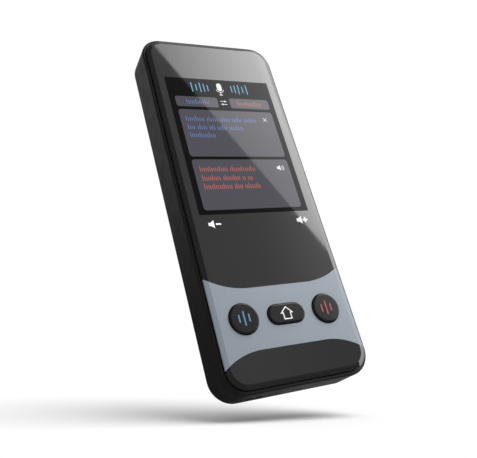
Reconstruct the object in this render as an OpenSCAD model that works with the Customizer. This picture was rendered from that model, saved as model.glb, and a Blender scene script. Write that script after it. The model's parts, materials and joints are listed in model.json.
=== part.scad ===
// Handheld translator: a slim pocket device with a glossy front panel, a colour
// display, a grey-blue band with three press keys, and one side key for power.
// It lies on its back. X runs across it, +Y towards its top end, +Z out of the screen.
// The origin is at the centre of the back face's plane.

/* [Casing] */
// Width of the casing
body_w = 46.2; // [45:0.1:50]
// Length of the casing
body_l = 116.2; // [115:0.1:126]
// Thickness, back face to flat front face
body_t = 12.5; // [12.3:0.1:15]
// Radius of the casing's corners seen from the front
corner_r = 7; // [6:0.1:9]
// Rounding along the back edge
back_edge_r = 1.5; // [0.6:0.1:2]
// Rounding on the outside of the front rim
rim_edge_r = 0.5; // [0.3:0.05:0.65]
// Thickness of the rim beside the front panel
rim_w = 0.95; // [0.7:0.05:1]
// Height of the flat front face above the rim
rim_drop = 1.15; // [0.9:0.05:1.4]
// Thickness of the side and end walls
wall = 1.5; // [1.3:0.05:1.7]
// Thickness of the back wall
floor_t = 1.4; // [1:0.05:1.6]

/* [Front panel] */
// Gap between the front panel and the rim
panel_gap = 0.15; // [0.1:0.05:0.25]
// Thickness of the front panel
panel_t = 1.8; // [1.6:0.05:2]
// Width of the panel's sloping margin
panel_edge_w = 1.4; // [1.3:0.1:1.9]
// Drop of the sloping margin
panel_edge_drop = 0.3; // [0.2:0.05:0.4]
// Radius of the margin's slight crown
panel_crown_r = 12; // [10:1:30]
// Height of the small chamfer where the margin meets the panel's side
panel_chamfer = 0.15; // [0.1:0.05:0.25]

/* [Key band] */
// Thickness of the grey-blue band let into the panel
band_t = 0.7; // [0.65:0.05:0.9]
// Band's straight upper border, above the key centres
band_above = 8.6; // [7:0.1:10]
// Band's straight lower border, below the key centres
band_below = 8.9; // [7:0.1:10]
// Half length of the straight upper border
band_upper_flat = 9.3; // [7:0.1:12]
// Radius of the upper border's curved ends
band_upper_r = 23; // [20:0.5:30]
// Half length of the straight lower border
band_lower_flat = 10; // [7:0.1:12]
// Radius of the lower border's curved ends
band_lower_r = 20.3; // [19:0.1:30]
// Gap around the band in its recess
band_gap = 0.05; // [0.03:0.01:0.1]

/* [Display] */
// Distance from the display that shows to the casing's sides
display_side = 4.75; // [4.6:0.05:6]
// Length of the display that shows
view_l = 48.9; // [44:0.1:49.5]
// Distance from the display that shows to the casing's top end
display_top = 15.85; // [15:0.05:17]
// Thickness of the clear window
window_t = 1.0; // [0.9:0.05:1.1]
// Width of the window's hidden flange
window_flange_w = 0.8; // [0.6:0.05:1]
// Thickness of the window's hidden flange
window_flange_t = 0.4; // [0.3:0.05:0.5]
// Gap between the window and the display
display_gap = 0.1; // [0.05:0.01:0.15]
// Thickness of each of the display's two glass sheets
lcd_glass_t = 0.35; // [0.3:0.01:0.35]
// Display glass beyond the view at the sides
lcd_side = 2.1; // [1.6:0.1:2.2]
// Display glass beyond the view at the top
lcd_top = 3; // [2:0.1:4]
// Front glass beyond the view at the bottom
lcd_bottom = 1.4; // [1.2:0.1:2]
// Driver ledge of the rear glass below the front glass
lcd_ledge = 5; // [4.5:0.1:6]
// Thickness of the backlight tray
backlight_t = 1.3; // [1.1:0.05:1.35]
// Width of the display's flat cable
flex_w = 14; // [10:1:18]
// Thickness of the flat cable
flex_t = 0.12; // [0.1:0.01:0.15]

/* [Keys] */
// Distance from the key centres to the casing's bottom end
key_up = 19.75; // [19:0.05:21]
// Distance from the home key to each round key
key_pitch = 13.25; // [12.8:0.05:13.6]
// Radius of the round keys
round_key_r = 4.25; // [4:0.05:4.5]
// Width of the home key
home_key_w = 11.45; // [10:0.05:12]
// Height of the home key
home_key_h = 5.55; // [5:0.05:6.5]
// Height of the keys above the flat front face
key_proud = 0.7; // [0.5:0.05:1.1]
// Rounding on the edge of the key tops
key_edge_r = 0.4; // [0.2:0.05:0.5]
// Running gap around the keys
key_gap = 0.28; // [0.15:0.01:0.3]
// How far a key goes in
key_travel = 0.35; // [0.2:0.05:0.4]
// Width of the flange that keeps a key in
key_flange_w = 0.7; // [0.5:0.05:0.8]
// Thickness of that flange
key_flange_t = 0.5; // [0.4:0.05:0.55]
// Running gap between flange and panel, and around the flange
flange_gap = 0.1; // [0.05:0.01:0.12]

/* [Side key] */
// Distance from the power key's centre to the casing's top end
power_down = 36.1; // [32:0.1:42]
// Length of the power key
power_l = 10; // [8:0.5:12]
// Height of the power key
power_h = 2.2; // [1.8:0.1:2.4]
// How far it stands out
power_proud = 0.5; // [0.3:0.05:0.8]
// How far it goes in
power_travel = 0.25; // [0.15:0.05:0.3]

/* [Switches] */
// Side of the square key switches
switch_w = 4.6; // [4:0.1:5]
// Height of the switch housings
switch_h = 1.35; // [1.2:0.05:1.4]
// Radius of the key switch plungers
plunger_r = 1; // [0.8:0.05:1.2]
// Radius of the power switch plunger
side_plunger_r = 0.5; // [0.4:0.05:0.6]
// Running gap around a plunger
plunger_gap = 0.06; // [0.04:0.01:0.1]

/* [Circuit board] */
// Thickness of the circuit board
board_t = 1; // [0.8:0.05:1.1]
// Space between the board and the panel frame
board_drop = 1.9; // [1.85:0.05:2.1]
// Gap between the board and the side walls
board_side_gap = 1.6; // [1.4:0.1:2]
// Width of the board's tongue at the top end
tongue_w = 26; // [22:1:28]
// Gap between the tongue and the end wall
tongue_gap = 0.6; // [0.4:0.1:1]
// Thickness of the panel frame
frame_t = 1.2; // [1.1:0.05:1.3]
// Gap around the panel frame
frame_gap = 0.15; // [0.1:0.05:0.2]

/* [Fixings] */
// Radius of the screw bosses in the corners
boss_r = 2; // [1.7:0.05:2.1]
// Gap between a boss and the side and end walls
boss_gap = 1.3; // [1:0.05:1.6]
// Radius of the frame screws' shanks
screw_r = 0.8; // [0.6:0.05:0.9]
// Radius of the frame screws' heads
screw_head_r = 1.4; // [1.2:0.05:1.5]
// Height of the frame screws' heads
screw_head_t = 0.7; // [0.5:0.05:0.8]
// Length of the frame screws under the head
screw_l = 4; // [3:0.1:5]
// Radius of the posts that carry the board
post_r = 1.7; // [1.5:0.05:1.8]
// Radius of the board screws' shanks
board_screw_r = 0.6; // [0.5:0.05:0.7]
// Radius of the board screws' heads
board_screw_head_r = 1.1; // [1:0.05:1.2]
// Height of the board screws' heads
board_screw_head_t = 0.6; // [0.4:0.05:0.7]
// Length of the board screws under the head
board_screw_l = 3.4; // [2.5:0.1:3.6]
// Gap around a screw's shank
screw_gap = 0.05; // [0.02:0.01:0.1]

/* [Battery] */
// Width of the battery
battery_w = 33; // [28:0.5:34]
// Length of the battery
battery_l = 50; // [40:0.5:52]
// Thickness of the battery
battery_t = 4.5; // [3.5:0.1:4.7]
// Centre of the battery
battery_y = 3; // [1:0.5:4]
// Thickness of the tape under it
tape_t = 0.2; // [0.1:0.05:0.25]
// Radius of a battery lead
lead_r = 0.45; // [0.35:0.05:0.5]

/* [Speaker] */
// Width of the speaker
speaker_w = 22; // [18:0.5:26]
// Length of the speaker
speaker_l = 13; // [11:0.5:15]
// Height of the speaker
speaker_h = 3.6; // [3:0.1:3.7]
// Distance from the speaker's centre to the casing's bottom end
speaker_up = 20.1; // [18.5:0.1:22]
// Thickness of the speaker's foam gasket
gasket_t = 0.6; // [0.4:0.05:0.8]
// Number of sound slots in the back
slot_count = 5; // [3:1:5]
// Width of a sound slot
slot_w = 1.1; // [0.8:0.1:1.3]
// Length of a sound slot
slot_l = 7.5; // [5:0.5:8.5]
// Distance between sound slots
slot_pitch = 2.8; // [2.2:0.1:3]

/* [Ports] */
// Width of the charging socket's shell
usb_w = 8.94; // [8.5:0.02:9.2]
// Height of the charging socket's shell
usb_h = 3.26; // [3:0.02:3.4]
// Length of the charging socket's shell
usb_l = 7.3; // [6.5:0.1:8]
// Thickness of the shell's sheet metal
usb_sheet = 0.3; // [0.2:0.02:0.35]
// Gap around the socket in the end wall
usb_gap = 0.2; // [0.1:0.05:0.3]
// How far the socket's mouth lies inside the end face
usb_inset = 0.3; // [0.2:0.05:0.6]
// Radius of the microphone's pinhole
pinhole_r = 0.5; // [0.4:0.05:0.6]
// Microphone's place from the middle of the top end
mic_x = 9; // [8:0.5:10]
// Width of each strap opening
strap_w = 2; // [1.6:0.1:2.2]
// Height of each strap opening
strap_h = 1.5; // [1.2:0.1:1.8]
// Distance between the two strap openings
strap_pitch = 3.1; // [2.9:0.1:3.5]
// Middle of the strap anchor, left of the casing's centre
strap_x = -12.4; // [-13:0.1:-11.5]
// Middle of the strap anchor, above the back face
strap_z = 5.1; // [4:0.1:6]
// Thickness of the bar that the strap goes round
strap_bar_t = 1.5; // [1.2:0.1:1.7]
// Depth of the hollow behind the bar
strap_depth = 1.6; // [1.2:0.1:1.8]

/* [Hidden] */
$fn = 64;
cut = 0.5;                                      // how far a cutter runs past a face
skin = 0.8;                                     // thin moulded walls inside
panel_edge_slope = 1.6;                         // rise over run of the panel's small chamfer
arc_fn = 128;                                   // circle steps of the wide arcs

// heights, from the front inwards
front_z = body_t;
rim_z = front_z - rim_drop;
panel_z = front_z - panel_t;                    // underside of the front panel
window_z = front_z - window_t;                  // underside of the window
band_z = front_z - band_t;                      // underside of the key band
lcd_z = window_z - display_gap;                 // face of the display
lcd_mid_z = lcd_z - lcd_glass_t;
lcd_back_z = lcd_mid_z - lcd_glass_t;
ledge_z = panel_z - frame_t;                    // ledge that carries the panel frame
board_z = ledge_z - board_drop;                 // top of the circuit board
board_back_z = board_z - board_t;
switch_z = board_z + switch_h;                  // top of the key switches
flange_z = panel_z - flange_gap;                // top of the keys' flanges
key_back_z = flange_z - key_flange_t;
key_top_z = front_z + key_proud;
plunger_play = 0.15;                            // left over a switch when its key is in
plunger_z = switch_z + key_travel + plunger_play;   // top of a plunger at rest
plunger_hold = 0.3;                             // plunger length left in the switch

// outlines
cavity_w = body_w - 2 * wall;
cavity_l = body_l - 2 * wall;
cavity_r = corner_r - wall;
pocket_w = body_w - 2 * rim_w;
pocket_l = body_l - 2 * rim_w;
pocket_r = corner_r - rim_w;
panel_w = pocket_w - 2 * panel_gap;
panel_l = pocket_l - 2 * panel_gap;
panel_r = pocket_r - panel_gap;
frame_w = pocket_w - 2 * frame_gap;
frame_l = pocket_l - 2 * frame_gap;
frame_r = pocket_r - frame_gap;

// display module
view_w = body_w - 2 * display_side;
view_y = body_l / 2 - display_top - view_l / 2;
lcd_w = view_w + 2 * lcd_side;
lcd_top_y = view_y + view_l / 2 + lcd_top;
lcd_front_y = view_y - view_l / 2 - lcd_bottom; // lower end of the front glass
lcd_end_y = lcd_front_y - lcd_ledge;            // lower end of the rear glass
lcd_gap = 0.25;                                 // around the display in the frame and panel
flex_bend_r = 0.5;
flex_slot_gap = 0.5;                            // around the flat cable in the frame
flex_slot_l = 2.6;
flex_out = 0.9;                                 // cable's drop beyond the display's end
flex_lift = 0.5;                                // cable above the board
flex_back = 4;                                  // connector behind the display's end
flex_join = 2;                                  // bare ledge between cable and front glass
flex_drop_y = lcd_end_y - flex_out;
flex_low_z = board_z + flex_lift;
connector_y = lcd_end_y + flex_back;
connector_l = 3;
connector_h = 1.1;
connector_side = 1;                             // connector beyond the cable on each side
strip_t = 0.15;                                 // touch strip
strip_side = 1;
strip_end = 0.6;
panel_recess_end = 1.4;                         // panel's recess beyond the display's end

// keys
key_y = key_up - body_l / 2;
band_top_y = key_y + band_above;
band_low_y = key_y - band_below;
nub_side = 0.4;
nub_r = plunger_r + nub_side;                   // stem between a key and its plunger

// power key, whose flange stays clear under the ledge
cavity_x = cavity_w / 2;
power_y = body_l / 2 - power_down;
power_flange_t = 0.6;
power_flange_w = 0.45;
power_z = ledge_z - 1.5 * flange_gap - power_flange_w - power_h / 2;
power_flange_x = cavity_x - flange_gap - power_flange_t;
power_stem = 0.6;                               // stem between the key and its plunger
power_stem_side = 0.1;
power_stem_r = side_plunger_r + power_stem_side;
power_rest_x = power_flange_x - power_stem;     // end of the plunger at rest
side_play = 0.35;                               // left before the switch when the key is in
side_hold = 0.8;                                // plunger length inside the switch at rest
side_bore_end = 0.2;                            // bore beyond the pushed plunger
side_switch_x = power_rest_x - power_travel - side_play;
side_switch_l = 3;
side_switch_w = 4.4;
side_plunger_z = board_z + switch_h / 2;

// board, bosses and posts
board_w = cavity_w - 2 * board_side_gap;
boss_x = cavity_x - boss_gap - boss_r;
boss_y = cavity_l / 2 - boss_gap - boss_r;
boss_board_gap = 0.5;
post_edge = 0.5;                                // board left outside a post
post_battery_gap = 0.8;
board_end_y = boss_y - boss_r - boss_board_gap;
tongue_y = cavity_l / 2 - tongue_gap;
post_x = board_w / 2 - post_r - post_edge;
post_top_y = battery_y + battery_l / 2 + post_r + post_battery_gap;
post_low_y = battery_y - battery_l / 2 - post_r - post_battery_gap;
boss_places = [for (x = [-1, 1], y = [-1, 1]) [x * boss_x, y * boss_y]];
post_places = [for (x = [-1, 1], y = [post_low_y, post_top_y]) [x * post_x, y]];

// cross slots in the screw heads
cross_share = 1.2;                              // slot length over head radius
cross_w = 0.3;

// what stands on the board
can_w = 27;
can_l = 22;
can_h = 1.5;
can_sheet = 0.2;
can_back = 5;                                   // can's centre behind the upper posts
can_y = post_top_y - can_back;
chip_gap = 0.3;
processor_w = 13;
processor_h = 1;
memory_w = 8;
memory_l = 11;
memory_h = 0.8;

// battery and its leads
battery_r = 2;
battery_edge_r = 0.8;
tape_side = 3;                                  // battery beyond the tape at the sides
tape_end = 4;                                   // battery beyond the tape at the ends
lead_end_y = battery_y - battery_l / 2;
lead_x = 8;
lead_pitch = 1.6;
lead_z = floor_t + tape_t + battery_t / 2;
lead_bend_r = 0.9;
lead_out = 2.4;                                 // leads' rise beyond the battery's end
lead_notch_gap = 0.6;
lead_reach = 1;                                 // leads' rise to the connector
plug_w = 5;
plug_l = 2.6;
plug_h = 1.5;
lead_up_y = lead_end_y - lead_out;
plug_y = lead_up_y - lead_reach - plug_l;
lead_top_z = board_z + plug_h / 2;

// speaker
speaker_y = speaker_up - body_l / 2;
gasket_w = 1.4;
mesh_t = 0.15;
mesh_gap = 0.1;
speaker_z = floor_t + gasket_t;
magnet_r = 3.6;
magnet_t = 1.2;
cone_t = 0.3;
cone_gap = 0.5;
cone_cap_r = 3;

// charging socket
usb_z = board_back_z - usb_h / 2;
usb_y = body_l / 2 - usb_inset;
usb_tongue_t = 0.7;
usb_tongue_side = 0.4;                          // tongue beyond the shell's flats
usb_tongue_inset = 0.8;                         // tongue's end behind the shell's mouth

// microphone
mic_w = 3.5;
mic_l = 2.6;
mic_h = 1;
mic_end = 0.2;                                  // board left in front of the microphone
mic_y = tongue_y - mic_l / 2 - mic_end;
boot_wall = 0.5;                                // rubber beside the duct
boot_floor = 0.2;                               // rubber under and over the duct
mic_z = board_z + boot_floor + pinhole_r;       // height of the duct and the pinhole

// strap anchor
strap_in_y = -body_l / 2 + strap_bar_t;         // inner face of the bar
strap_hollow_w = strap_pitch + strap_w;
strap_back_y = strap_in_y + strap_depth;

// antenna
antenna_t = 0.15;
antenna_h = 5.5;
antenna_l = 22;
antenna_end = 2.1;                              // straight wall left beyond the antenna
antenna_up = 0.6;                               // antenna above the back wall
antenna_y = cavity_l / 2 - cavity_r - antenna_end - antenna_l / 2;
antenna_z = floor_t + antenna_up;

// ---------- shapes used more than once ----------

// Rounded rectangle, centred
module rounded_rect(w, l, r) {
    square([w - 2 * r, l], center = true);
    square([w, l - 2 * r], center = true);
    for (x = [-1, 1], y = [-1, 1])
        translate([x * (w / 2 - r), y * (l / 2 - r)]) circle(r);
}

// Slot with round ends, centred, lying along X
module stadium(w, h) {
    square([w - h, h], center = true);
    for (x = [-1, 1]) translate([x * (w - h) / 2, 0]) circle(h / 2);
}

// Upright block between two heights
module slab(z0, z1) {
    translate([0, 0, z0]) linear_extrude(z1 - z0) children();
}

// Block on a rounded rectangle whose edge has the profile given as its child:
// the profile runs from the corner's centre at x = 0 out to x = r
module edged_block(w, l, r, z0, z1) {
    sx = w / 2 - r;
    sy = l / 2 - r;
    slab(z0, z1) square([2 * sx, 2 * sy], center = true);
    for (turn = [0, 180]) rotate(turn) {
        translate([sx, sy, 0]) rotate([90, 0, 0]) linear_extrude(2 * sy) children();
        translate([-sx, sy, 0]) rotate([90, 0, 90]) linear_extrude(2 * sx) children();
        translate([sx, sy, 0]) rotate_extrude(angle = 90) children();
        translate([-sx, sy, 0]) rotate(90) rotate_extrude(angle = 90) children();
    }
}

// Edge profile with one rounding below and one above
module rounded_profile(r, z0, z1, low_r, high_r) {
    translate([0, z0]) square([r - low_r, low_r]);
    translate([0, z0 + low_r]) square([r, z1 - z0 - low_r - high_r]);
    translate([0, z1 - high_r]) square([r - high_r, high_r]);
    translate([r - low_r, z0 + low_r]) circle(low_r);
    translate([r - high_r, z1 - high_r]) circle(high_r);
}

// Edge profile of the front panel: a sloping, slightly crowned margin that ends in a
// small chamfer
module panel_profile(z0) {
    inner_x = panel_r - panel_edge_w;
    side_z = front_z - panel_edge_drop - panel_chamfer;
    chamfer_w = (front_z - side_z) / panel_edge_slope;
    chord = sqrt(panel_edge_w ^ 2 + panel_edge_drop ^ 2);
    depth = sqrt(panel_crown_r ^ 2 - chord ^ 2 / 4) / chord;
    crown_x = inner_x + panel_edge_w / 2 - depth * panel_edge_drop;
    crown_z = front_z - panel_edge_drop / 2 - depth * panel_edge_w;
    translate([0, z0]) square([inner_x, front_z - z0]);
    intersection() {
        polygon([
            [inner_x, z0], [panel_r, z0], [panel_r, side_z],
            [panel_r - chamfer_w, front_z], [inner_x, front_z]
        ]);
        translate([crown_x, crown_z]) circle(panel_crown_r, $fn = arc_fn);
    }
}

// Whole front panel before anything is cut from it
module panel_blank(z0) {
    edged_block(panel_w, panel_l, panel_r, z0, front_z) panel_profile(z0);
}

// Outline of the grey-blue band, grown by a gap
module band_outline(grow) {
    reach = body_w;
    difference() {
        translate([-reach / 2, band_low_y - reach / 2])
            square([reach, band_top_y - band_low_y + reach]);
        translate([0, band_top_y + grow]) {
            translate([-band_upper_flat, 0]) square([2 * band_upper_flat, reach]);
            for (x = [-1, 1])
                translate([x * band_upper_flat, band_upper_r]) circle(band_upper_r, $fn = arc_fn);
            translate([-reach, band_upper_r]) square([2 * reach, reach]);
        }
        translate([0, band_low_y - grow]) {
            translate([-band_lower_flat, -reach]) square([2 * band_lower_flat, reach]);
            for (x = [-1, 1])
                translate([x * band_lower_flat, -band_lower_r]) circle(band_lower_r, $fn = arc_fn);
            translate([-reach, -band_lower_r - reach]) square([2 * reach, reach]);
        }
    }
}

// The three key outlines, grown by a distance
module key_outlines(grow) {
    for (x = [-1, 1]) translate([x * key_pitch, key_y]) circle(round_key_r + grow);
    translate([0, key_y]) stadium(home_key_w + 2 * grow, home_key_h + 2 * grow);
}

// ---------- casing ----------

// Tub with side walls, back wall, bosses, posts and the strap anchor
module housing() color([0.13, 0.13, 0.135]) {
    difference() {
        union() {
            difference() {
                edged_block(body_w, body_l, corner_r, 0, rim_z)
                    rounded_profile(corner_r, 0, rim_z, back_edge_r, rim_edge_r);
                slab(floor_t, ledge_z) rounded_rect(cavity_w, cavity_l, cavity_r);
                slab(ledge_z, rim_z + cut) rounded_rect(pocket_w, pocket_l, pocket_r);
            }
            for (p = boss_places) translate(p) slab(floor_t, ledge_z) circle(boss_r);
            for (p = post_places) translate(p) slab(floor_t, board_back_z) circle(post_r);
            strap_block();
        }
        for (p = boss_places)
            translate(p) slab(ledge_z - screw_l, ledge_z + cut) circle(screw_r + screw_gap);
        for (p = post_places)
            translate(p) slab(board_back_z - board_screw_l, board_back_z + cut)
                circle(board_screw_r + screw_gap);
        strap_openings();
        sound_slots();
        usb_opening();
        power_opening();
        translate([mic_x, body_l / 2 + cut, mic_z]) rotate([90, 0, 0])
            cylinder(r = pinhole_r, h = wall + 2 * cut);
    }
}

// Moulded block inside the end wall that closes the strap hollow off
module strap_block() {
    translate([strap_x, 0, strap_z]) translate([
        -strap_hollow_w / 2 - skin, -body_l / 2 + wall / 2, -strap_h / 2 - skin
    ]) cube([
        strap_hollow_w + 2 * skin, strap_back_y + skin + body_l / 2 - wall / 2, strap_h + 2 * skin
    ]);
}

// Two openings that meet behind a bar
module strap_openings() {
    translate([strap_x, 0, strap_z]) {
        for (x = [-1, 1])
            translate([x * strap_pitch / 2, strap_back_y, 0]) rotate([90, 0, 0])
                linear_extrude(strap_back_y + body_l / 2 + cut) stadium(strap_w, strap_h);
        translate([-strap_pitch / 2, strap_in_y, -strap_h / 2])
            cube([strap_pitch, strap_depth, strap_h]);
    }
}

// Row of sound slots through the back wall
module sound_slots() {
    for (i = [0 : slot_count - 1])
        translate([(i - (slot_count - 1) / 2) * slot_pitch, speaker_y, 0]) rotate(90)
            slab(-cut, floor_t + cut) stadium(slot_l, slot_w);
}

module usb_opening() {
    translate([0, body_l / 2 + cut, usb_z]) rotate([90, 0, 0])
        linear_extrude(wall + 2 * cut) stadium(usb_w + 2 * usb_gap, usb_h + 2 * usb_gap);
}

module power_opening() {
    translate([cavity_x - cut, power_y, power_z]) rotate([90, 0, 90])
        linear_extrude(wall + 2 * cut) stadium(power_l + 2 * key_gap, power_h + 2 * key_gap);
}

// Ring that lies on the housing's ledge, carries the panel and closes the tub
module panel_frame() color([0.2, 0.2, 0.21]) {
    tray_y = (lcd_top_y + lcd_end_y) / 2;
    tray_l = lcd_top_y - lcd_end_y;
    difference() {
        slab(ledge_z, panel_z) rounded_rect(frame_w, frame_l, frame_r);
        translate([0, tray_y, 0]) slab(ledge_z - cut, panel_z + cut)
            square([lcd_w + 2 * lcd_gap, tray_l + 2 * lcd_gap], center = true);
        translate([0, flex_drop_y, 0]) slab(ledge_z - cut, panel_z + cut)
            square([flex_w + 2 * flex_slot_gap, flex_slot_l], center = true);
        slab(ledge_z - cut, panel_z + cut) key_outlines(key_flange_w + 3 * flange_gap);
        for (p = boss_places) translate(p) {
            slab(ledge_z - cut, panel_z + cut) circle(screw_r + screw_gap);
            slab(panel_z - screw_head_t - flange_gap, panel_z + cut) circle(screw_head_r + flange_gap);
        }
    }
}

// Countersunk screws that hold the panel frame on the bosses
module frame_screws() color([0.7, 0.7, 0.72]) {
    head_z = panel_z - screw_head_t - flange_gap;
    for (p = boss_places) translate(p) difference() {
        union() {
            slab(head_z - screw_l + frame_t - screw_head_t, head_z) circle(screw_r);
            slab(head_z, head_z + screw_head_t) circle(screw_head_r);
        }
        for (a = [0, 90]) rotate(a) slab(head_z + screw_head_t / 2, panel_z + cut)
            square([screw_head_r * cross_share, cross_w], center = true);
    }
}

// ---------- front ----------

// Glossy black panel with the window opening and the recess for the band
module front_panel() color([0.1, 0.1, 0.105]) {
    recess_l = lcd_top_y - lcd_end_y + 2 * lcd_gap + panel_recess_end;
    difference() {
        panel_blank(panel_z);
        slab(band_z, front_z + cut) band_outline(band_gap);
        slab(panel_z - cut, front_z + cut) key_outlines(key_gap);
        translate([0, view_y, 0]) {
            slab(window_z - cut, front_z + cut) square([view_w, view_l], center = true);
            slab(window_z - cut, window_z + window_flange_t)
                square([view_w + 2 * window_flange_w, view_l + 2 * window_flange_w], center = true);
        }
        translate([0, lcd_top_y + lcd_gap - recess_l / 2, 0]) slab(panel_z - cut, window_z)
            square([lcd_w + 2 * lcd_gap, recess_l], center = true);
    }
}

// Grey-blue trim let into the panel around the keys
module key_band() color([0.58, 0.62, 0.66]) {
    difference() {
        intersection() {
            panel_blank(band_z);
            slab(band_z, front_z) band_outline(0);
        }
        slab(band_z - cut, front_z + cut) key_outlines(key_gap);
    }
}

// Clear window, flush with the panel, held by a flange behind it
module display_window() color([0.75, 0.8, 0.85, 0.3]) translate([0, view_y, 0]) {
    slab(window_z, front_z) square([view_w, view_l], center = true);
    slab(window_z, window_z + window_flange_t)
        square([view_w + 2 * window_flange_w, view_l + 2 * window_flange_w], center = true);
}

// Front glass on a longer rear glass whose ledge carries the driver
module lcd_panel() color([0.04, 0.04, 0.05]) {
    translate([-lcd_w / 2, lcd_front_y, lcd_mid_z])
        cube([lcd_w, lcd_top_y - lcd_front_y, lcd_glass_t]);
    translate([-lcd_w / 2, lcd_end_y, lcd_back_z])
        cube([lcd_w, lcd_top_y - lcd_end_y, lcd_glass_t]);
}

// Backlight in its tray behind the display glass
module backlight_tray() color([0.8, 0.81, 0.82]) {
    translate([-lcd_w / 2, lcd_end_y, lcd_back_z - backlight_t])
        cube([lcd_w, lcd_top_y - lcd_end_y, backlight_t]);
}

// Flat cable: along the ledge, down through the frame and back under the display
module display_flex() color([0.72, 0.45, 0.12]) {
    top_z = lcd_mid_z + flex_t;
    translate([-flex_w / 2, 0, 0]) rotate([90, 0, 90]) linear_extrude(flex_w) {
        translate([flex_drop_y + flex_bend_r, lcd_mid_z])
            square([lcd_front_y - flex_join - flex_drop_y - flex_bend_r, flex_t]);
        translate([flex_drop_y + flex_bend_r, top_z - flex_bend_r]) quarter_ring(flex_bend_r, 90);
        translate([flex_drop_y, flex_low_z + flex_bend_r])
            square([flex_t, top_z - flex_low_z - 2 * flex_bend_r]);
        translate([flex_drop_y + flex_bend_r, flex_low_z + flex_bend_r]) quarter_ring(flex_bend_r, 180);
        translate([flex_drop_y + flex_bend_r, flex_low_z])
            square([connector_y - flex_drop_y - flex_bend_r, flex_t]);
    }
}

// Quarter of a flat ring as thick as the flat cable
module quarter_ring(r, turn) {
    intersection() {
        difference() {
            circle(r);
            circle(r - flex_t);
        }
        rotate(turn) square([r, r]);
    }
}

// Connector on the board that the flat cable goes into
module flex_connector() color([0.9, 0.88, 0.82]) {
    translate([-flex_w / 2 - connector_side, connector_y, board_z])
        cube([flex_w + 2 * connector_side, connector_l, connector_h]);
}

// Thin electrode strip behind the panel at the volume marks
module volume_touch_strip() color([0.72, 0.45, 0.12]) {
    translate([-lcd_w / 2 + strip_side, lcd_end_y + strip_end, window_z - strip_t])
        cube([lcd_w - 2 * strip_side, lcd_ledge - strip_end - strip_side, strip_t]);
}

// ---------- keys ----------

// Body of a key: outline as child 0, the same outline with its flange as child 1
module key_body() {
    slab(key_back_z, key_top_z - key_edge_r) children(0);
    slab(key_back_z, flange_z) children(1);
    slab(plunger_z, key_back_z) circle(nub_r);
}

module round_key(x) {
    translate([x, key_y, 0]) {
        key_body() {
            circle(round_key_r);
            circle(round_key_r + key_flange_w);
        }
        slab(key_top_z - key_edge_r, key_top_z) circle(round_key_r - key_edge_r);
        translate([0, 0, key_top_z - key_edge_r]) rotate_extrude()
            translate([round_key_r - key_edge_r, 0]) circle(key_edge_r);
    }
}

module left_key() color([0.09, 0.09, 0.095]) round_key(-key_pitch);

module right_key() color([0.09, 0.09, 0.095]) round_key(key_pitch);

module home_key() color([0.09, 0.09, 0.095]) {
    half_l = (home_key_w - home_key_h) / 2;
    edge_y = home_key_h / 2 - key_edge_r;
    translate([0, key_y, 0]) {
        key_body() {
            stadium(home_key_w, home_key_h);
            stadium(home_key_w + 2 * key_flange_w, home_key_h + 2 * key_flange_w);
        }
        slab(key_top_z - key_edge_r, key_top_z)
            stadium(home_key_w - 2 * key_edge_r, home_key_h - 2 * key_edge_r);
        for (turn = [0, 180]) rotate(turn) translate([0, 0, key_top_z - key_edge_r]) {
            translate([-half_l, edge_y, 0]) rotate([0, 90, 0]) cylinder(r = key_edge_r, h = 2 * half_l);
            translate([half_l, 0, 0]) rotate(-90) rotate_extrude(angle = 180)
                translate([edge_y, 0]) circle(key_edge_r);
        }
    }
}

// Plunger of a key switch, moved by the key above it
module key_plunger(x) {
    translate([x, key_y, 0]) slab(switch_z - key_travel - plunger_hold, plunger_z) circle(plunger_r);
}

module left_plunger() color([0.85, 0.3, 0.2]) key_plunger(-key_pitch);

module home_plunger() color([0.85, 0.3, 0.2]) key_plunger(0);

module right_plunger() color([0.85, 0.3, 0.2]) key_plunger(key_pitch);

// The three switch housings under the keys
module key_switches() color([0.75, 0.76, 0.78]) {
    for (x = [-1, 0, 1]) translate([x * key_pitch, key_y, 0]) difference() {
        slab(board_z, switch_z) square(switch_w, center = true);
        slab(switch_z - 2 * key_travel - plunger_hold, switch_z + cut) circle(plunger_r + plunger_gap);
    }
}

// Power key in the right side wall, with a flange inside the wall
module power_key() color([0.13, 0.13, 0.135]) {
    translate([0, power_y, power_z]) rotate([90, 0, 90]) {
        translate([0, 0, power_flange_x])
            linear_extrude(body_w / 2 + power_proud - power_flange_x) stadium(power_l, power_h);
        translate([0, 0, power_flange_x]) linear_extrude(power_flange_t)
            stadium(power_l + 2 * power_flange_w, power_h + 2 * power_flange_w);
    }
    translate([power_rest_x, power_y, side_plunger_z]) rotate([0, 90, 0])
        cylinder(r = power_stem_r, h = power_stem);
}

module power_plunger() color([0.85, 0.3, 0.2]) {
    length = power_rest_x - side_switch_x + side_hold;
    translate([power_rest_x - length, power_y, side_plunger_z]) rotate([0, 90, 0])
        cylinder(r = side_plunger_r, h = length);
}

// Side switch at the board's edge
module power_switch() color([0.75, 0.76, 0.78]) {
    bore = side_hold + power_travel + side_bore_end;
    difference() {
        translate([side_switch_x - side_switch_l, power_y - side_switch_w / 2, board_z])
            cube([side_switch_l, side_switch_w, switch_h]);
        translate([side_switch_x - bore, power_y, side_plunger_z]) rotate([0, 90, 0])
            cylinder(r = side_plunger_r + plunger_gap, h = bore + cut);
    }
}

// ---------- electronics ----------

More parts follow.
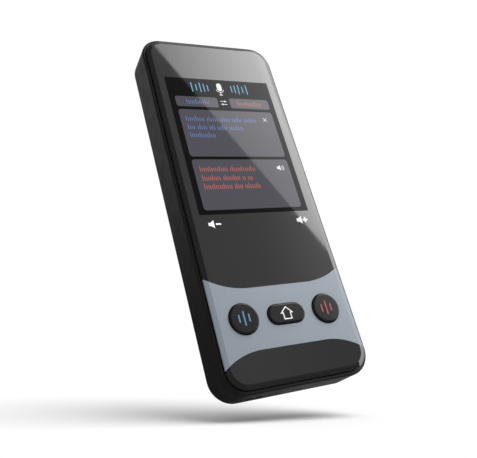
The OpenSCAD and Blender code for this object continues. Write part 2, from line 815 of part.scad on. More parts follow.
// Board with a tongue at the top end and a notch for the battery leads
module main_board() color([0.05, 0.3, 0.18]) {
    difference() {
        slab(board_back_z, board_z) {
            square([board_w, 2 * board_end_y], center = true);
            translate([-tongue_w / 2, 0]) square([tongue_w, tongue_y]);
        }
        for (p = post_places)
            translate(p) slab(board_back_z - cut, board_z + cut) circle(board_screw_r + screw_gap);
        translate([lead_x, lead_up_y, 0]) slab(board_back_z - cut, board_z + cut)
            square([lead_pitch, 0] + (2 * lead_r + 2 * lead_notch_gap) * [1, 1], center = true);
    }
}

// Screws that hold the board on its posts
module board_screws() color([0.7, 0.7, 0.72]) {
    for (p = post_places) translate(p) difference() {
        union() {
            slab(board_z + board_screw_head_t - board_screw_l, board_z) circle(board_screw_r);
            slab(board_z, board_z + board_screw_head_t) circle(board_screw_head_r);
        }
        for (a = [0, 90]) rotate(a)
            slab(board_z + board_screw_head_t / 2, board_z + board_screw_head_t + cut)
                square([board_screw_head_r * cross_share, cross_w], center = true);
    }
}

// Sheet-metal lid over the processor and the memory
module shield_can() color([0.72, 0.73, 0.75]) {
    translate([0, can_y, 0]) difference() {
        slab(board_z, board_z + can_h) square([can_w, can_l], center = true);
        slab(board_z - cut, board_z + can_h - can_sheet)
            square([can_w - 2 * can_sheet, can_l - 2 * can_sheet], center = true);
    }
}

module processor() color([0.08, 0.08, 0.09]) {
    x = can_w / 2 - can_sheet - chip_gap - processor_w;
    translate([x, can_y - processor_w / 2, board_z]) cube([processor_w, processor_w, processor_h]);
}

module memory_chip() color([0.08, 0.08, 0.09]) {
    x = -can_w / 2 + can_sheet + chip_gap;
    translate([x, can_y - memory_l / 2, board_z]) cube([memory_w, memory_l, memory_h]);
}

// Pouch cell
module battery() color([0.62, 0.64, 0.67]) {
    bottom = floor_t + tape_t;
    top = bottom + battery_t;
    translate([0, battery_y, 0]) edged_block(battery_w, battery_l, battery_r, bottom, top)
        rounded_profile(battery_r, bottom, top, battery_edge_r, battery_edge_r);
}

module battery_tape() color([0.9, 0.85, 0.55]) {
    translate([0, battery_y, 0]) slab(floor_t, floor_t + tape_t)
        square([battery_w - 2 * tape_side, battery_l - 2 * tape_end], center = true);
}

// Two leads from the battery's end, up through the board's notch to the connector
module battery_leads() color([0.75, 0.1, 0.1]) {
    for (side = [-1, 1]) translate([lead_x + side * lead_pitch / 2, 0, 0]) {
        translate([0, lead_end_y, lead_z]) rotate([90, 0, 0])
            cylinder(r = lead_r, h = lead_end_y - lead_up_y - lead_bend_r);
        translate([0, lead_up_y + lead_bend_r, lead_z + lead_bend_r]) lead_bend(180);
        translate([0, lead_up_y, lead_z + lead_bend_r])
            cylinder(r = lead_r, h = lead_top_z - lead_z - 2 * lead_bend_r);
        translate([0, lead_up_y - lead_bend_r, lead_top_z - lead_bend_r]) lead_bend(0);
        translate([0, lead_up_y - lead_bend_r, lead_top_z]) rotate([90, 0, 0])
            cylinder(r = lead_r, h = lead_up_y - lead_bend_r - plug_y - plug_l);
    }
}

// Quarter bend of a lead in the YZ plane
module lead_bend(turn) {
    rotate([90, 0, 90]) rotate(turn) rotate_extrude(angle = 90)
        translate([lead_bend_r, 0]) circle(lead_r);
}

module battery_connector() color([0.93, 0.92, 0.88]) {
    translate([lead_x - plug_w / 2, plug_y, board_z]) cube([plug_w, plug_l, plug_h]);
}

// ---------- sound ----------

// Outline of the speaker with round ends, grown by a distance
module speaker_outline(grow) {
    translate([0, speaker_y]) stadium(speaker_w + 2 * grow, speaker_l + 2 * grow);
}

module speaker_basket() color([0.12, 0.12, 0.13]) {
    difference() {
        slab(speaker_z, speaker_z + speaker_h) speaker_outline(0);
        slab(speaker_z - cut, speaker_z + speaker_h - skin) speaker_outline(-gasket_w);
    }
}

// Diaphragm with a raised middle
module speaker_cone() color([0.3, 0.3, 0.32]) {
    slab(speaker_z + cone_gap, speaker_z + cone_gap + cone_t) speaker_outline(-gasket_w);
    translate([0, speaker_y, 0]) slab(speaker_z + cone_gap + cone_t, speaker_z + cone_gap + 2 * cone_t)
        circle(cone_cap_r);
}

module speaker_magnet() color([0.5, 0.5, 0.53]) {
    top = speaker_z + speaker_h - skin;
    translate([0, speaker_y, 0]) slab(top - magnet_t, top) circle(magnet_r);
}

// Foam ring between the speaker and the back wall
module speaker_gasket() color([0.2, 0.2, 0.2]) {
    difference() {
        slab(floor_t, speaker_z) speaker_outline(0);
        slab(floor_t - cut, speaker_z + cut) speaker_outline(-gasket_w);
    }
}

// Fine mesh behind the sound slots
module speaker_mesh() color([0.25, 0.25, 0.26]) {
    slab(floor_t, floor_t + mesh_t) speaker_outline(-gasket_w - mesh_gap);
}

module microphone() color([0.8, 0.78, 0.6]) {
    translate([mic_x - mic_w / 2, mic_y - mic_l / 2, board_z]) cube([mic_w, mic_l, mic_h]);
}

// Rubber duct from the microphone to the pinhole
module microphone_boot() color([0.16, 0.16, 0.17]) {
    from_y = mic_y + mic_l / 2;
    difference() {
        translate([mic_x - pinhole_r - boot_wall, from_y, board_z])
            cube([2 * (pinhole_r + boot_wall), cavity_l / 2 - from_y, 2 * (pinhole_r + boot_floor)]);
        translate([mic_x, cavity_l / 2 + cut, mic_z]) rotate([90, 0, 0])
            cylinder(r = pinhole_r, h = cavity_l / 2 - from_y + 2 * cut);
    }
}

// ---------- ports and radio ----------

// Shell of the charging socket, closed at its inner end
module usb_shell() color([0.78, 0.78, 0.8]) {
    translate([0, usb_y, usb_z]) rotate([90, 0, 0]) difference() {
        linear_extrude(usb_l) stadium(usb_w, usb_h);
        translate([0, 0, -cut]) linear_extrude(usb_l - skin + cut)
            stadium(usb_w - 2 * usb_sheet, usb_h - 2 * usb_sheet);
    }
}

module usb_tongue() color([0.1, 0.1, 0.11]) {
    depth = usb_l - skin;
    width = usb_w - usb_h + 2 * usb_tongue_side;
    translate([-width / 2, usb_y - depth, usb_z - usb_tongue_t / 2])
        cube([width, depth - usb_tongue_inset, usb_tongue_t]);
}

// Thin antenna strip on the inside of the left wall
module antenna() color([0.72, 0.45, 0.12]) {
    translate([-cavity_x, antenna_y - antenna_l / 2, antenna_z])
        cube([antenna_t, antenna_l, antenna_h]);
}

housing();
panel_frame();
front_panel();
key_band();
display_window();
lcd_panel();
backlight_tray();
display_flex();
flex_connector();
volume_touch_strip();
left_key();
home_key();
right_key();
left_plunger();
home_plunger();
right_plunger();
key_switches();
power_key();
power_plunger();
power_switch();
main_board();
shield_can();
processor();
memory_chip();
board_screws();
frame_screws();
battery();
battery_tape();
battery_leads();
battery_connector();
speaker_basket();
speaker_cone();
speaker_magnet();
speaker_gasket();
speaker_mesh();
usb_shell();
usb_tongue();
microphone();
microphone_boot();
antenna();
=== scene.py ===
"""Looks of the handheld translator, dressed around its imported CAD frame. Lengths in metres."""
import json
import math

import bmesh
import bpy
from mathutils import Matrix, Vector


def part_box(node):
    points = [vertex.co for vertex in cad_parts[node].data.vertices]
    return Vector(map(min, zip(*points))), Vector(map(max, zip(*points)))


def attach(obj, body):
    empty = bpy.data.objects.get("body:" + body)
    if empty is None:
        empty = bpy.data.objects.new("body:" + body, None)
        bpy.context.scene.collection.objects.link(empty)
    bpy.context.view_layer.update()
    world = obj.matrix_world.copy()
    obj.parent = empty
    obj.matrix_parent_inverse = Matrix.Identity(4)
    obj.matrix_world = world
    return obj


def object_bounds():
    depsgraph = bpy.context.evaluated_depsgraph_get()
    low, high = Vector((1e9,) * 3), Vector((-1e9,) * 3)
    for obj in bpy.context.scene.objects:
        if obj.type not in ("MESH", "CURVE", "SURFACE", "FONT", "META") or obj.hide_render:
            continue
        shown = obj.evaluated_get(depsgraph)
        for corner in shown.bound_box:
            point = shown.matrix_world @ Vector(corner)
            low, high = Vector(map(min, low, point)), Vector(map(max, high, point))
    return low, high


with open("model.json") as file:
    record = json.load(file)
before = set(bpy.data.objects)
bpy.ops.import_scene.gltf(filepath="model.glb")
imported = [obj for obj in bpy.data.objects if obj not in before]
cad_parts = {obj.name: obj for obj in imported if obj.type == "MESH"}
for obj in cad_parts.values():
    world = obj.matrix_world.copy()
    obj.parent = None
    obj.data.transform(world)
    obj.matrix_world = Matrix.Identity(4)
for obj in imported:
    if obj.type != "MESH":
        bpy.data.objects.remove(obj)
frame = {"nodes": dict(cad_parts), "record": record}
cad_low, cad_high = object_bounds()

MM = 0.001
PRINT_T = 0.012 * MM            # thickness of printed ink
FLANGE = Vector((0.8, 0.8, 0))  # hidden edge of the window under the panel, in millimetres
scene = bpy.context.scene


# ---------- places taken from the frame ----------

window_low, window_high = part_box("display_window")
key_boxes = {name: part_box(name) for name in ("left_key", "home_key", "right_key")}

FRONT_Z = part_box("front_panel")[1].z          # the panel's front face
SHOWN_LOW = window_low / MM + FLANGE          # corners of the window that shows, in millimetres
SHOWN_HIGH = window_high / MM - FLANGE


# ---------- materials ----------

def linear(r, g, b):
    """Linear colour of three sRGB values from 0 to 255."""
    def one(v):
        v /= 255
        return v / 12.92 if v <= 0.04045 else ((v + 0.055) / 1.055) ** 2.4
    return one(r), one(g), one(b), 1.0


def shaded(colour, factor):
    """The colour times a factor."""
    return tuple(min(1.0, c * factor) for c in colour[:3]) + (1.0,)


class Surface:
    """A Principled material whose colour, roughness and relief come from noise."""

    def __init__(self, name, colour, roughness, metallic=0.0):
        self.mat = bpy.data.materials.new(name)
        self.mat.use_nodes = True
        self.nodes = self.mat.node_tree.nodes
        self.links = self.mat.node_tree.links
        self.bsdf = self.nodes["Principled BSDF"]
        self.bsdf.inputs["Base Color"].default_value = colour
        self.bsdf.inputs["Roughness"].default_value = roughness
        self.bsdf.inputs["Metallic"].default_value = metallic
        self.colour = colour
        self.place = self.nodes.new("ShaderNodeTexCoord")

    def set(self, socket, value):
        """Sets a socket of the shader to an even value."""
        self.bsdf.inputs[socket].default_value = value
        return self

    def stretched(self, stretch):
        """Object coordinates stretched along the axes, for brushed or drawn surfaces."""
        mapping = self.nodes.new("ShaderNodeMapping")
        mapping.inputs["Scale"].default_value = stretch
        self.links.new(self.place.outputs["Object"], mapping.inputs["Vector"])
        return mapping.outputs["Vector"]

    def noise(self, size, detail=2.0, stretch=(1, 1, 1)):
        """Noise whose features are about size across."""
        node = self.nodes.new("ShaderNodeTexNoise")
        node.inputs["Scale"].default_value = 1 / size
        node.inputs["Detail"].default_value = detail
        self.links.new(self.stretched(stretch), node.inputs["Vector"])
        return node.outputs["Fac"]

    def spread(self, value, low, high):
        """The value, which lies mostly from 0.3 to 0.7, mapped to low and high."""
        node = self.nodes.new("ShaderNodeMapRange")
        node.inputs["From Min"].default_value = 0.3
        node.inputs["From Max"].default_value = 0.7
        node.inputs["To Min"].default_value = low
        node.inputs["To Max"].default_value = high
        self.links.new(value, node.inputs["Value"])
        return node.outputs["Result"]

    def mottle(self, size, amount, detail=2.0, stretch=(1, 1, 1)):
        """Lets the colour vary by a share either way."""
        mix = self.nodes.new("ShaderNodeMix")
        mix.data_type = "RGBA"
        mix.inputs["A"].default_value = shaded(self.colour, 1 - amount)
        mix.inputs["B"].default_value = shaded(self.colour, 1 + amount)
        factor = self.spread(self.noise(size, detail, stretch), 0, 1)
        self.links.new(factor, mix.inputs["Factor"])
        self.links.new(mix.outputs["Result"], self.bsdf.inputs["Base Color"])
        return self

    def polish(self, size, low, high, detail=3.0, stretch=(1, 1, 1)):
        """Lets the roughness vary from low to high."""
        value = self.spread(self.noise(size, detail, stretch), low, high)
        self.links.new(value, self.bsdf.inputs["Roughness"])
        return self

    def relief(self, size, depth, strength=1.0, detail=2.0, stretch=(1, 1, 1)):
        """A fine bump of the given depth."""
        bump = self.nodes.new("ShaderNodeBump")
        bump.inputs["Strength"].default_value = strength
        bump.inputs["Distance"].default_value = depth
        self.links.new(self.noise(size, detail, stretch), bump.inputs["Height"])
        self.links.new(bump.outputs["Normal"], self.bsdf.inputs["Normal"])
        return self

    def glow(self, colour, strength):
        """Lets the surface give off an even light."""
        self.bsdf.inputs["Emission Color"].default_value = colour
        self.bsdf.inputs["Emission Strength"].default_value = strength
        return self


def moulded(name, colour, roughness=0.5, gloss=0.5):
    """Moulded plastic with a spark-eroded texture."""
    return (Surface(name, colour, roughness).set("Specular IOR Level", gloss)
            .mottle(9 * MM, 0.08).polish(3 * MM, roughness - 0.05, roughness + 0.05)
            .relief(0.22 * MM, 0.012 * MM, 0.5))


def polished(name, colour, roughness=0.05):
    """Polished plastic with faint wipe marks."""
    return (Surface(name, colour, roughness).mottle(20 * MM, 0.04)
            .polish(14 * MM, roughness * 0.7, roughness * 1.6))


def sheet_metal(name, colour, roughness=0.28):
    """Rolled sheet with fine lines along Y."""
    return (Surface(name, colour, roughness, 1.0)
            .mottle(0.5 * MM, 0.06, stretch=(1, 0.08, 1))
            .polish(0.4 * MM, roughness * 0.8, roughness * 1.3, stretch=(1, 0.08, 1))
            .relief(0.15 * MM, 0.004 * MM, 0.4, stretch=(1, 0.08, 1)))


def rubbery(name, colour):
    """Soft matt rubber, foam or tape."""
    return (Surface(name, colour, 0.7).mottle(1.5 * MM, 0.1)
            .polish(0.8 * MM, 0.62, 0.8).relief(0.12 * MM, 0.01 * MM, 0.6))


def ink(name, colour, roughness=0.4):
    """Printed ink with a slightly uneven coat."""
    return (Surface(name, colour, roughness).mottle(0.6 * MM, 0.03)
            .polish(0.5 * MM, roughness - 0.06, roughness + 0.06))


SCREEN_ROUGH = 0.03
SCREEN_POLISH = (9 * MM, 0.02, 0.04)   # size of its unevenness, and least and most roughness
PIXEL = 0.15 * MM               # pitch of the display's faint grid
DARK_GLOSS = 0.075              # specular level of the display's black
FIELD_GLOSS = 0.15              # specular level of what it shows


def lit(name, colour, gloss=FIELD_GLOSS):
    """A lit part of the display: dark glass with an even glow and a faint pixel grid."""
    surface = Surface(name, (0.0, 0.0, 0.0, 1.0), SCREEN_ROUGH)
    surface.set("Specular IOR Level", gloss).polish(*SCREEN_POLISH)
    grid = surface.nodes.new("ShaderNodeTexChecker")
    grid.inputs["Scale"].default_value = 1 / PIXEL
    grid.inputs["Color1"].default_value = shaded(colour, 1.02)
    grid.inputs["Color2"].default_value = shaded(colour, 0.98)
    surface.links.new(surface.place.outputs["Object"], grid.inputs["Vector"])
    surface.links.new(grid.outputs["Color"], surface.bsdf.inputs["Emission Color"])
    return surface.set("Emission Strength", 1.0)


def casing_black():
    return moulded("casing_black", (0.009, 0.009, 0.0092, 1.0), 0.46, 0.2)


def panel_black():
    return polished("panel_black", (0.012, 0.012, 0.0122, 1.0), 0.03)


def band_grey_blue():
    surface = Surface("band_grey_blue", (0.18, 0.211, 0.248, 1.0), 0.4)
    return surface.mottle(0.12 * MM, 0.03, 1.0).polish(12 * MM, 0.38, 0.43)


def window_clear():
    surface = Surface("window_clear", (0.97, 0.98, 0.98, 1.0), 0.02)
    surface.set("Transmission Weight", 1.0)
    return surface.polish(14 * MM, 0.01, 0.03)


def display_glass():
    surface = Surface("display_glass", (0.0004, 0.0004, 0.0005, 1.0), SCREEN_ROUGH)
    surface.set("Specular IOR Level", DARK_GLOSS).glow(linear(3, 3, 4), 1.0)
    return surface.mottle(8 * MM, 0.1).polish(*SCREEN_POLISH)


def key_black():
    surface = Surface("key_black", (0.0115, 0.0115, 0.0118, 1.0), 0.2)
    return surface.set("Specular IOR Level", 0.25).mottle(6 * MM, 0.06).polish(4 * MM, 0.17, 0.23)


WEAVE = 1.2 * MM                # size of the speaker cloth's weave


def mesh_cloth():
    """Woven cloth: two crossed sets of threads."""
    surface = Surface("mesh_cloth", (0.03, 0.03, 0.031, 1.0), 0.8).mottle(0.4 * MM, 0.3)
    wave = surface.nodes.new("ShaderNodeTexWave")
    wave.inputs["Scale"].default_value = 1 / WEAVE
    cross = surface.nodes.new("ShaderNodeTexWave")
    cross.bands_direction = "Y"
    cross.inputs["Scale"].default_value = 1 / WEAVE
    both = surface.nodes.new("ShaderNodeMath")
    both.operation = "MULTIPLY"
    for node, socket in ((wave, 0), (cross, 1)):
        surface.links.new(surface.place.outputs["Object"], node.inputs["Vector"])
        surface.links.new(node.outputs["Fac"], both.inputs[socket])
    bump = surface.nodes.new("ShaderNodeBump")
    bump.inputs["Distance"].default_value = 0.05 * MM
    surface.links.new(both.outputs["Value"], bump.inputs["Height"])
    surface.links.new(bump.outputs["Normal"], surface.bsdf.inputs["Normal"])
    return surface


def board_green():
    surface = moulded("board_green", (0.02, 0.13, 0.065, 1.0), 0.35)
    return surface.set("Coat Weight", 0.3)


SLOT_SURFACES = {
    "casing_black": casing_black,
    "panel_black": panel_black,
    "band_grey_blue": band_grey_blue,
    "window_clear": window_clear,
    "display_glass": display_glass,
    "tray_white": lambda: moulded("tray_white", (0.75, 0.75, 0.74, 1.0), 0.5),
    "flex_amber": lambda: polished("flex_amber", (0.5, 0.22, 0.04, 1.0), 0.25),
    "key_black": key_black,
    "plunger_red": lambda: moulded("plunger_red", (0.5, 0.08, 0.05, 1.0), 0.4),
    "switch_steel": lambda: sheet_metal("switch_steel", (0.6, 0.6, 0.61, 1.0)),
    "board_green": board_green,
    "can_steel": lambda: sheet_metal("can_steel", (0.62, 0.62, 0.63, 1.0), 0.35),
    "chip_black": lambda: moulded("chip_black", (0.02, 0.02, 0.021, 1.0), 0.55),
    "screw_steel": lambda: sheet_metal("screw_steel", (0.55, 0.55, 0.57, 1.0), 0.3),
    "pouch_foil": lambda: sheet_metal("pouch_foil", (0.6, 0.61, 0.62, 1.0), 0.4),
    "tape_cream": lambda: rubbery("tape_cream", (0.7, 0.62, 0.35, 1.0)),
    "lead_red": lambda: rubbery("lead_red", (0.45, 0.02, 0.02, 1.0)),
    "connector_ivory": lambda: moulded("connector_ivory", (0.72, 0.69, 0.58, 1.0), 0.45),
    "speaker_black": lambda: moulded("speaker_black", (0.025, 0.025, 0.026, 1.0), 0.5),
    "cone_grey": lambda: rubbery("cone_grey", (0.07, 0.07, 0.075, 1.0)),
    "magnet_grey": lambda: sheet_metal("magnet_grey", (0.4, 0.4, 0.42, 1.0), 0.35),
    "gasket_foam": lambda: rubbery("gasket_foam", (0.04, 0.04, 0.04, 1.0)),
    "mesh_cloth": mesh_cloth,
    "shell_steel": lambda: sheet_metal("shell_steel", (0.66, 0.66, 0.67, 1.0), 0.25),
    "tongue_black": lambda: moulded("tongue_black", (0.02, 0.02, 0.02, 1.0), 0.4),
    "mic_metal": lambda: sheet_metal("mic_metal", (0.75, 0.6, 0.3, 1.0), 0.3),
    "boot_rubber": lambda: rubbery("boot_rubber", (0.025, 0.025, 0.026, 1.0)),
}


def dress_frame():
    """Gives every CAD node the material of its slot."""
    made = {slot: make().mat for slot, make in SLOT_SURFACES.items()}
    for part in frame["record"]["subparts"]:
        node = frame["nodes"][part["node"]]
        node.data.materials.clear()
        node.data.materials.append(made[part["material_slot"]])


# ---------- flat prints ----------

def rounded(cx, cy, width, height, radius, steps=6):
    """Outline of a rounded rectangle, in millimetres."""
    points = []
    for sx, sy, start in ((1, 1, 0), (-1, 1, 90), (-1, -1, 180), (1, -1, 270)):
        for i in range(steps + 1):
            a = math.radians(start + 90 * i / steps)
            points.append((cx + sx * (width / 2 - radius) + radius * math.cos(a),
                           cy + sy * (height / 2 - radius) + radius * math.sin(a)))
    return points


ROUND_END = 0.999               # share of a bar's half width that its ends are rounded by


def bar(cx, cy, width, height):
    """Outline of a bar with round ends."""
    return rounded(cx, cy, width, height, min(width, height) / 2 * ROUND_END)


def placed(points, cx, cy, size=1):
    """The points scaled by a size and moved to a place."""
    return [(cx + size * x, cy + size * y) for x, y in points]


def beside(points, width, closed):
    """Points on the left and on the right of a mitred line."""
    count = len(points)
    line = [Vector(p) for p in points]

    def side(a, b):
        along = (b - a).normalized()
        return Vector((-along.y, along.x))

    left, right = [], []
    for i, p in enumerate(line):
        before = line[i - 1] if (i or closed) else None
        after = line[(i + 1) % count] if (i < count - 1 or closed) else None
        sides = [side(before, p)] if before else []
        sides += [side(p, after)] if after else []
        normal = sum(sides, Vector((0, 0))).normalized()
        reach = width / 2 / max(0.4, normal.dot(sides[0]))
        left.append(p + normal * reach)
        right.append(p - normal * reach)
    return left, right


def stroke(points, width):
    """Outline of an open mitred line."""
    left, right = beside(points, width, False)
    return right + left[::-1]


def ring(points, width):
    """Outer and inner outline of a closed mitred line that runs anticlockwise."""
    left, right = beside(points, width, True)
    return right, left


def cross(cx, cy, size, width, turn=0):
    """Outline of a plus sign. A turn of 45 degrees makes it a multiplication sign."""
    far, near = size / 2, width / 2
    corner = [(far, near), (near, near), (near, far)]
    points = []
    for quarter in range(4):
        a = math.radians(turn + 90 * quarter)
        points += [(cx + x * math.cos(a) - y * math.sin(a), cy + x * math.sin(a) + y * math.cos(a))
                   for x, y in corner]
    return points


def arc(cx, cy, radius, start, end, steps):
    """Points on an arc, in millimetres and degrees."""
    turn = [math.radians(start + (end - start) * i / steps) for i in range(steps + 1)]
    return [(cx + radius * math.cos(a), cy + radius * math.sin(a)) for a in turn]


def add_prism(bm, outline, low_z, high_z):
    """A closed prism on one outline."""
    lower = [bm.verts.new((x * MM, y * MM, low_z)) for x, y in outline]
    upper = [bm.verts.new((x * MM, y * MM, high_z)) for x, y in outline]
    bm.faces.new(upper)
    bm.faces.new(lower[::-1])
    add_walls(bm, lower, upper)


def add_walls(bm, first, second):
    """Quads between two closed loops of as many points."""
    for i in range(len(first)):
        j = (i + 1) % len(first)
        bm.faces.new((first[i], first[j], second[j], second[i]))


def add_ring(bm, outer, inner, low_z, high_z):
    """A closed prism with a hole through it."""
    loops = [[bm.verts.new((x * MM, y * MM, z)) for x, y in outline]
             for outline, z in ((outer, low_z), (outer, high_z), (inner, high_z), (inner, low_z))]
    for first, second in zip(loops, loops[1:] + loops[:1]):
        add_walls(bm, first, second)


def print_piece(name, outlines, low_z, material, body, thickness=PRINT_T):
    """A thin closed piece made of flat outlines in millimetres. A pair of them is a ring."""
    mesh = bpy.data.meshes.new(name)
    bm = bmesh.new()
    for outline in outlines:
        if isinstance(outline, tuple):
            add_ring(bm, outline[0], outline[1], low_z, low_z + thickness)
        else:
            add_prism(bm, outline, low_z, low_z + thickness)
    bmesh.ops.recalc_face_normals(bm, faces=bm.faces)
    bm.to_mesh(mesh)
    bm.free()
    mesh.materials.append(material.mat)
    piece = bpy.data.objects.new(name, mesh)
    scene.collection.objects.link(piece)
    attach(piece, body)


# ---------- display ----------
#
# The picture is a bonded film on the window's front, so it shows without any depth under it.
# Its measures are in millimetres.

FIELDS = ((-9.3, 33.15, 14.4, 3.86, 0.8), (9.3, 33.15, 14.4, 3.86, 0.8),
          (0, 21.51, 32.95, 17.18, 1.0), (0, 3.31, 32.95, 17.12, 1.0))   # as rounded() takes them
# Lines of words: the left end, the middle's height and the words' lengths.
BLUE_LINES = ((-13.1, 33.2, (8.0,)), (-14.85, 26.7, (6.4, 4.0, 3.6, 3.5, 4.8)),
              (-14.85, 23.6, (2.55, 3.4, 2.2, 3.5, 5.1)), (-14.85, 20.7, (8.8,)))
RED_LINES = ((4.6, 33.2, (8.9,)), (-14.7, 8.6, (9.4, 8.9)), (-14.6, 5.5, (6.2, 5.9, 1.3, 1.8)),
             (-14.7, 2.6, (9.4, 2.9, 5.5)))
MARK_PITCH = 0.62               # from one mark of a word to the next
MARK_WIDTH = 0.22
MARK_HEIGHT = 1.9               # height of the tall marks
MARK_ROUND = 0.1
LOW_MARK = 0.7                  # share of that height that the others have
WORD_SPACE = 0.6


def words(lines):
    """Lines of short marks of varied height that stand for words and spell nothing."""
    outlines = []
    for x, y, lengths in lines:
        for turn, length in enumerate(lengths):
            count = max(2, round(length / MARK_PITCH))
            for i in range(count):
                is_tall = (3 * i + 2 * turn) % 5 == 0
                tall = MARK_HEIGHT if is_tall else LOW_MARK * MARK_HEIGHT
                middle = x + (i + 0.5) * length / count, y + (tall - MARK_HEIGHT) / 2
                outlines.append(rounded(*middle, MARK_WIDTH, tall, MARK_ROUND, 2))
            x += length + WORD_SPACE
    return outlines


def sound_bars(bars, width):
    """Upright bars like a sound level, each with its place along X and its ends along Y."""
    return [bar(x, (low + high) / 2, width, high - low) for x, low, high in bars]


ICON_WEDGE = ((-0.5, -0.17), (-0.28, -0.17), (0, -0.38), (0, 0.38), (-0.28, 0.17), (-0.5, 0.17))
MIC_FOOT = ((-0.12, -2.1), (-0.12, -2.95), (-0.6, -2.95), (-0.6, -3.2), (0.6, -3.2), (0.6, -2.95),
            (0.12, -2.95), (0.12, -2.1))
ARROW = ((-1.1, 0.11), (0.35, 0.11), (0.35, 0.42), (1.1, 0.0), (0.35, -0.42), (0.35, -0.11),
         (-1.1, -0.11))


def speaker_icon(cx, cy, size):
    """Loudspeaker wedge with two waves."""
    width = 0.08 * size
    return [placed(ICON_WEDGE, cx, cy, size), stroke(arc(cx, cy, 0.24 * size, -50, 50, 6), width),
            stroke(arc(cx, cy, 0.45 * size, -50, 50, 8), width)]


def microphone_icon(cx, cy):
    """Capsule in a cradle on a foot."""
    cradle = stroke(arc(cx, cy - 0.75, 1.3, 190, 350, 10), 0.22)
    return [bar(cx, cy, 1.7, 3.1), cradle, placed(MIC_FOOT, cx, cy)]


def arrow(cx, cy, way):
    """Arrow that points to the right for 1 and to the left for -1."""
    return [(cx + way * x, cy + y) for x, y in ARROW][::way]


# Bars of the sound level: the place along X and the two ends along Y.
SOUND_LEFT = ((-9.8, 37.0, 40.75), (-8.28, 37.6, 40.1), (-6.9, 37.0, 40.8), (-5.6, 37.3, 40.35),
              (-4.3, 37.5, 40.0))
SOUND_RIGHT = ((4.2, 37.6, 40.2), (5.45, 37.35, 40.5), (6.8, 37.0, 40.75), (8.3, 37.55, 40.2),
               (9.75, 37.0, 40.85))
SOUND_WIDTH = 0.36
FILM_EDGE = 0.04                # how far the film reaches over the window's edge
FILM_ROUND = 0.1


def display():
    """What the display shows: plain fields, word marks and symbols on a black film."""
    black = lit("screen_black", linear(12, 12, 13), DARK_GLOSS)
    field = lit("screen_field", linear(79, 77, 85))
    blue = lit("screen_blue", linear(104, 127, 184))
    red = lit("screen_red", linear(188, 106, 98))
    wave = lit("screen_wave", linear(100, 160, 196))
    white = lit("screen_white", linear(235, 235, 235))
    layers = [FRONT_Z + i * PRINT_T for i in range(3)]

    def layer(name, outlines, height, surface):
        print_piece(name, outlines, layers[height], surface, "casing")

    middle, size = (SHOWN_LOW + SHOWN_HIGH) / 2, SHOWN_HIGH - SHOWN_LOW
    wide, tall = size.x + 2 * FILM_EDGE, size.y + 2 * FILM_EDGE
    layer("screen_film", [rounded(middle.x, middle.y, wide, tall, FILM_ROUND)], 0, black)
    layer("screen_fields", [rounded(*measures) for measures in FIELDS], 1, field)
    layer("screen_words_blue", words(BLUE_LINES), 2, blue)
    layer("screen_words_red", words(RED_LINES), 2, red)
    layer("screen_waves", sound_bars(SOUND_LEFT + SOUND_RIGHT, SOUND_WIDTH), 1, wave)
    free = microphone_icon(-0.1, 39.35) + [arrow(0, 33.75, 1), arrow(0, 32.6, -1)]
    layer("screen_icons", free, 1, white)
    over = [cross(13.2, 27.05, 1.9, 0.18, 45)] + speaker_icon(13.3, 8.8, 2.6)
    layer("screen_field_icons", over, 2, white)


# ---------- prints on the panel and the keys ----------

VOLUME_Y = -9.75                # middle of the volume marks, in millimetres, as all below
WEDGE_X = (-15.35, 14.15)       # their wedges' places
MINUS_X, PLUS_X = -13.2, 16.15
MINUS_LENGTH, PLUS_LENGTH, SIGN_WIDTH = 1.7, 1.75, 0.48
WEDGE = ((-0.95, -0.5), (-0.3, -0.5), (0.8, -1.25), (0.8, 1.25), (-0.3, 0.5), (-0.95, 0.5))
KEY_BARS = ((-1.5, -1.15, 1.15), (0, -2.1, 2.1), (1.5, -1.15, 1.15))
KEY_BAR_WIDTH = 0.42
HOUSE = ((0, 1.75), (-1.75, 0.05), (-1.15, 0.05), (-1.15, -1.7), (1.15, -1.7), (1.15, 0.05),
         (1.75, 0.05))
HOUSE_LINE = 0.28
ICON_SHIFT = 0.1                # how far the keys' prints lie to the left of their middles


def volume_marks():
    """A plain wedge with a minus and a plus sign, one on each side."""
    white = ink("print_white", linear(238, 238, 238))
    outlines = [placed(WEDGE, x, VOLUME_Y) for x in WEDGE_X]
    outlines.append(rounded(MINUS_X, VOLUME_Y, MINUS_LENGTH, SIGN_WIDTH, 0.1))
    outlines.append(cross(PLUS_X, VOLUME_Y, PLUS_LENGTH, SIGN_WIDTH))
    print_piece("volume_marks", outlines, FRONT_Z, white, "casing")


def key_print(name, outlines, surface):
    """A print on top of a key, which moves with it."""
    print_piece(name + "_icon", outlines, key_boxes[name][1].z, surface, name)


def key_icons():
    """Sound bars on the round keys and a house outline on the middle key."""
    blue = ink("print_blue", linear(74, 118, 152))
    red = ink("print_red", linear(146, 36, 48))
    white = ink("print_pale", linear(235, 235, 235))
    middle = {name: (low + high) / 2 / MM for name, (low, high) in key_boxes.items()}

    for name, surface in (("left_key", blue), ("right_key", red)):
        x, y = middle[name].x - ICON_SHIFT, middle[name].y
        bars = [(x + across, y + low, y + high) for across, low, high in KEY_BARS]
        key_print(name, sound_bars(bars, KEY_BAR_WIDTH), surface)

    x, y = middle["home_key"].x - ICON_SHIFT, middle["home_key"].y
    key_print("home_key", [ring(placed(HOUSE, x, y), HOUSE_LINE)], white)


# ---------- charging socket contacts ----------

CONTACTS = 8                    # in each row
CONTACT_WIDTH, CONTACT_LENGTH = 0.3, 3.4
CONTACT_T = 0.02 * MM
CONTACT_SIDE, CONTACT_END = 0.25, 0.5   # from the tongue's sides and its end, in millimetres


